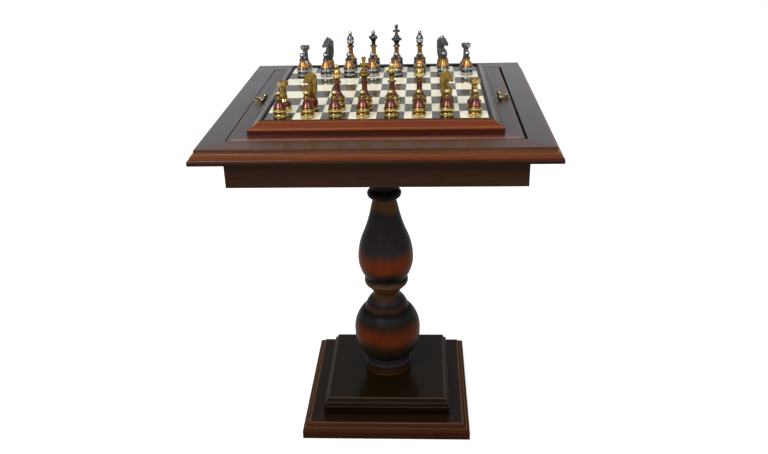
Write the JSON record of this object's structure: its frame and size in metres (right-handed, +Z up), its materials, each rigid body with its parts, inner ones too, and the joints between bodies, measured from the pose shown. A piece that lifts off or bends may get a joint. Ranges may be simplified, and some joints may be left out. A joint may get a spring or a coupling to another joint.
{
  "type": "chess table",
  "caption": "Square pedestal games table: moulded plinth, turned column, storage box under a lift-off lid with an inlaid chess board, and the chessmen on it.",
  "frame": {"origin": "centre of the base where its felt meets the floor", "axes": "+Z up, +X to the right and +Y away from a player who sits at the gold side"},
  "size_m": [0.6312, 0.6312, 0.823],
  "materials": {
    "stained_wood": "dark walnut stain under satin lacquer, shaded to red-brown on edges and turnings",
    "plain_wood": "sawn and sanded, unstained",
    "lining": "stained plywood, satin",
    "light_square": "pale veneer under gloss lacquer",
    "dark_square": "grey-dyed veneer under gloss lacquer",
    "felt": "dense wool felt",
    "steel": "zinc-plated",
    "brass": "polished, lacquered",
    "gold_metal": "polished gold-coloured casting with dark red enamel",
    "silver_metal": "antiqued silver-coloured casting with amber enamel"
  },
  "bodies": {
    "table": {"base_felt": "felt", "lower_plinth": "stained_wood", "upper_plinth": "stained_wood", "column_lower": "stained_wood", "column_upper": "stained_wood", "tie_rod": "steel", "tie_rod_nuts": "steel", "mounting_board": "plain_wood", "mounting_screws": "steel", "apron_front": "stained_wood", "apron_right": "stained_wood", "apron_back": "stained_wood", "apron_left": "stained_wood", "box_floor": "lining", "corner_blocks": "plain_wood", "top_rail_front": "stained_wood", "top_rail_right": "stained_wood", "top_rail_back": "stained_wood", "top_rail_left": "stained_wood"},
    "lid": {"lid_panel": "stained_wood", "board_panel": "stained_wood", "light_squares": "light_square", "dark_squares": "dark_square", "board_rails": "stained_wood", "pull_plates": "brass"},
    "left_pull": {"left_pull": "brass"},
    "right_pull": {"right_pull": "brass"},
    "gold_rook_1": {"gold_rook_1": "gold_metal"},
    "gold_knight_1": {"gold_knight_1": "gold_metal"},
    "gold_bishop_1": {"gold_bishop_1": "gold_metal"},
    "gold_king": {"gold_king": "gold_metal"},
    "gold_queen": {"gold_queen": "gold_metal"},
    "gold_bishop_2": {"gold_bishop_2": "gold_metal"},
    "gold_knight_2": {"gold_knight_2": "gold_metal"},
    "gold_rook_2": {"gold_rook_2": "gold_metal"},
    "gold_pawn_1": {"gold_pawn_1": "gold_metal"},
    "gold_pawn_2": {"gold_pawn_2": "gold_metal"},
    "gold_pawn_3": {"gold_pawn_3": "gold_metal"},
    "gold_pawn_4": {"gold_pawn_4": "gold_metal"},
    "gold_pawn_5": {"gold_pawn_5": "gold_metal"},
    "gold_pawn_6": {"gold_pawn_6": "gold_metal"},
    "gold_pawn_7": {"gold_pawn_7": "gold_metal"},
    "gold_pawn_8": {"gold_pawn_8": "gold_metal"},
    "silver_rook_1": {"silver_rook_1": "silver_metal"},
    "silver_knight_1": {"silver_knight_1": "silver_metal"},
    "silver_bishop_1": {"silver_bishop_1": "silver_metal"},
    "silver_king": {"silver_king": "silver_metal"},
    "silver_queen": {"silver_queen": "silver_metal"},
    "silver_bishop_2": {"silver_bishop_2": "silver_metal"},
    "silver_knight_2": {"silver_knight_2": "silver_metal"},
    "silver_rook_2": {"silver_rook_2": "silver_metal"},
    "silver_pawn_1": {"silver_pawn_1": "silver_metal"},
    "silver_pawn_2": {"silver_pawn_2": "silver_metal"},
    "silver_pawn_3": {"silver_pawn_3": "silver_metal"},
    "silver_pawn_4": {"silver_pawn_4": "silver_metal"},
    "silver_pawn_5": {"silver_pawn_5": "silver_metal"},
    "silver_pawn_6": {"silver_pawn_6": "silver_metal"},
    "silver_pawn_7": {"silver_pawn_7": "silver_metal"},
    "silver_pawn_8": {"silver_pawn_8": "silver_metal"}
  },
  "joints": [
    {"name": "lid_lift", "type": "slide", "parent": "table", "child": "lid", "axis": [0, 0, 1], "range_m": [0, 0.15]},
    {"name": "left_pull_swing", "type": "hinge", "parent": "lid", "child": "left_pull", "pos_m": [-0.2515, -0.001, 0.7131], "axis": [0, -1, 0], "range_deg": [0, 100]},
    {"name": "right_pull_swing", "type": "hinge", "parent": "lid", "child": "right_pull", "pos_m": [0.2485, -0.001, 0.7131], "axis": [0, 1, 0], "range_deg": [0, 100]},
    {"name": "gold_rook_1_lift", "type": "slide", "parent": "lid", "child": "gold_rook_1", "axis": [0, 0, 1], "range_m": [0, 0.12]},
    {"name": "gold_knight_1_lift", "type": "slide", "parent": "lid", "child": "gold_knight_1", "axis": [0, 0, 1], "range_m": [0, 0.12]},
    {"name": "gold_bishop_1_lift", "type": "slide", "parent": "lid", "child": "gold_bishop_1", "axis": [0, 0, 1], "range_m": [0, 0.12]},
    {"name": "gold_king_lift", "type": "slide", "parent": "lid", "child": "gold_king", "axis": [0, 0, 1], "range_m": [0, 0.12]},
    {"name": "gold_queen_lift", "type": "slide", "parent": "lid", "child": "gold_queen", "axis": [0, 0, 1], "range_m": [0, 0.12]},
    {"name": "gold_bishop_2_lift", "type": "slide", "parent": "lid", "child": "gold_bishop_2", "axis": [0, 0, 1], "range_m": [0, 0.12]},
    {"name": "gold_knight_2_lift", "type": "slide", "parent": "lid", "child": "gold_knight_2", "axis": [0, 0, 1], "range_m": [0, 0.12]},
    {"name": "gold_rook_2_lift", "type": "slide", "parent": "lid", "child": "gold_rook_2", "axis": [0, 0, 1], "range_m": [0, 0.12]},
    {"name": "gold_pawn_1_lift", "type": "slide", "parent": "lid", "child": "gold_pawn_1", "axis": [0, 0, 1], "range_m": [0, 0.12]},
    {"name": "gold_pawn_2_lift", "type": "slide", "parent": "lid", "child": "gold_pawn_2", "axis": [0, 0, 1], "range_m": [0, 0.12]},
    {"name": "gold_pawn_3_lift", "type": "slide", "parent": "lid", "child": "gold_pawn_3", "axis": [0, 0, 1], "range_m": [0, 0.12]},
    {"name": "gold_pawn_4_lift", "type": "slide", "parent": "lid", "child": "gold_pawn_4", "axis": [0, 0, 1], "range_m": [0, 0.12]},
    {"name": "gold_pawn_5_lift", "type": "slide", "parent": "lid", "child": "gold_pawn_5", "axis": [0, 0, 1], "range_m": [0, 0.12]},
    {"name": "gold_pawn_6_lift", "type": "slide", "parent": "lid", "child": "gold_pawn_6", "axis": [0, 0, 1], "range_m": [0, 0.12]},
    {"name": "gold_pawn_7_lift", "type": "slide", "parent": "lid", "child": "gold_pawn_7", "axis": [0, 0, 1], "range_m": [0, 0.12]},
    {"name": "gold_pawn_8_lift", "type": "slide", "parent": "lid", "child": "gold_pawn_8", "axis": [0, 0, 1], "range_m": [0, 0.12]},
    {"name": "silver_rook_1_lift", "type": "slide", "parent": "lid", "child": "silver_rook_1", "axis": [0, 0, 1], "range_m": [0, 0.12]},
    {"name": "silver_knight_1_lift", "type": "slide", "parent": "lid", "child": "silver_knight_1", "axis": [0, 0, 1], "range_m": [0, 0.12]},
    {"name": "silver_bishop_1_lift", "type": "slide", "parent": "lid", "child": "silver_bishop_1", "axis": [0, 0, 1], "range_m": [0, 0.12]},
    {"name": "silver_king_lift", "type": "slide", "parent": "lid", "child": "silver_king", "axis": [0, 0, 1], "range_m": [0, 0.12]},
    {"name": "silver_queen_lift", "type": "slide", "parent": "lid", "child": "silver_queen", "axis": [0, 0, 1], "range_m": [0, 0.12]},
    {"name": "silver_bishop_2_lift", "type": "slide", "parent": "lid", "child": "silver_bishop_2", "axis": [0, 0, 1], "range_m": [0, 0.12]},
    {"name": "silver_knight_2_lift", "type": "slide", "parent": "lid", "child": "silver_knight_2", "axis": [0, 0, 1], "range_m": [0, 0.12]},
    {"name": "silver_rook_2_lift", "type": "slide", "parent": "lid", "child": "silver_rook_2", "axis": [0, 0, 1], "range_m": [0, 0.12]},
    {"name": "silver_pawn_1_lift", "type": "slide", "parent": "lid", "child": "silver_pawn_1", "axis": [0, 0, 1], "range_m": [0, 0.12]},
    {"name": "silver_pawn_2_lift", "type": "slide", "parent": "lid", "child": "silver_pawn_2", "axis": [0, 0, 1], "range_m": [0, 0.12]},
    {"name": "silver_pawn_3_lift", "type": "slide", "parent": "lid", "child": "silver_pawn_3", "axis": [0, 0, 1], "range_m": [0, 0.12]},
    {"name": "silver_pawn_4_lift", "type": "slide", "parent": "lid", "child": "silver_pawn_4", "axis": [0, 0, 1], "range_m": [0, 0.12]},
    {"name": "silver_pawn_5_lift", "type": "slide", "parent": "lid", "child": "silver_pawn_5", "axis": [0, 0, 1], "range_m": [0, 0.12]},
    {"name": "silver_pawn_6_lift", "type": "slide", "parent": "lid", "child": "silver_pawn_6", "axis": [0, 0, 1], "range_m": [0, 0.12]},
    {"name": "silver_pawn_7_lift", "type": "slide", "parent": "lid", "child": "silver_pawn_7", "axis": [0, 0, 1], "range_m": [0, 0.12]},
    {"name": "silver_pawn_8_lift", "type": "slide", "parent": "lid", "child": "silver_pawn_8", "axis": [0, 0, 1], "range_m": [0, 0.12]}
  ]
}
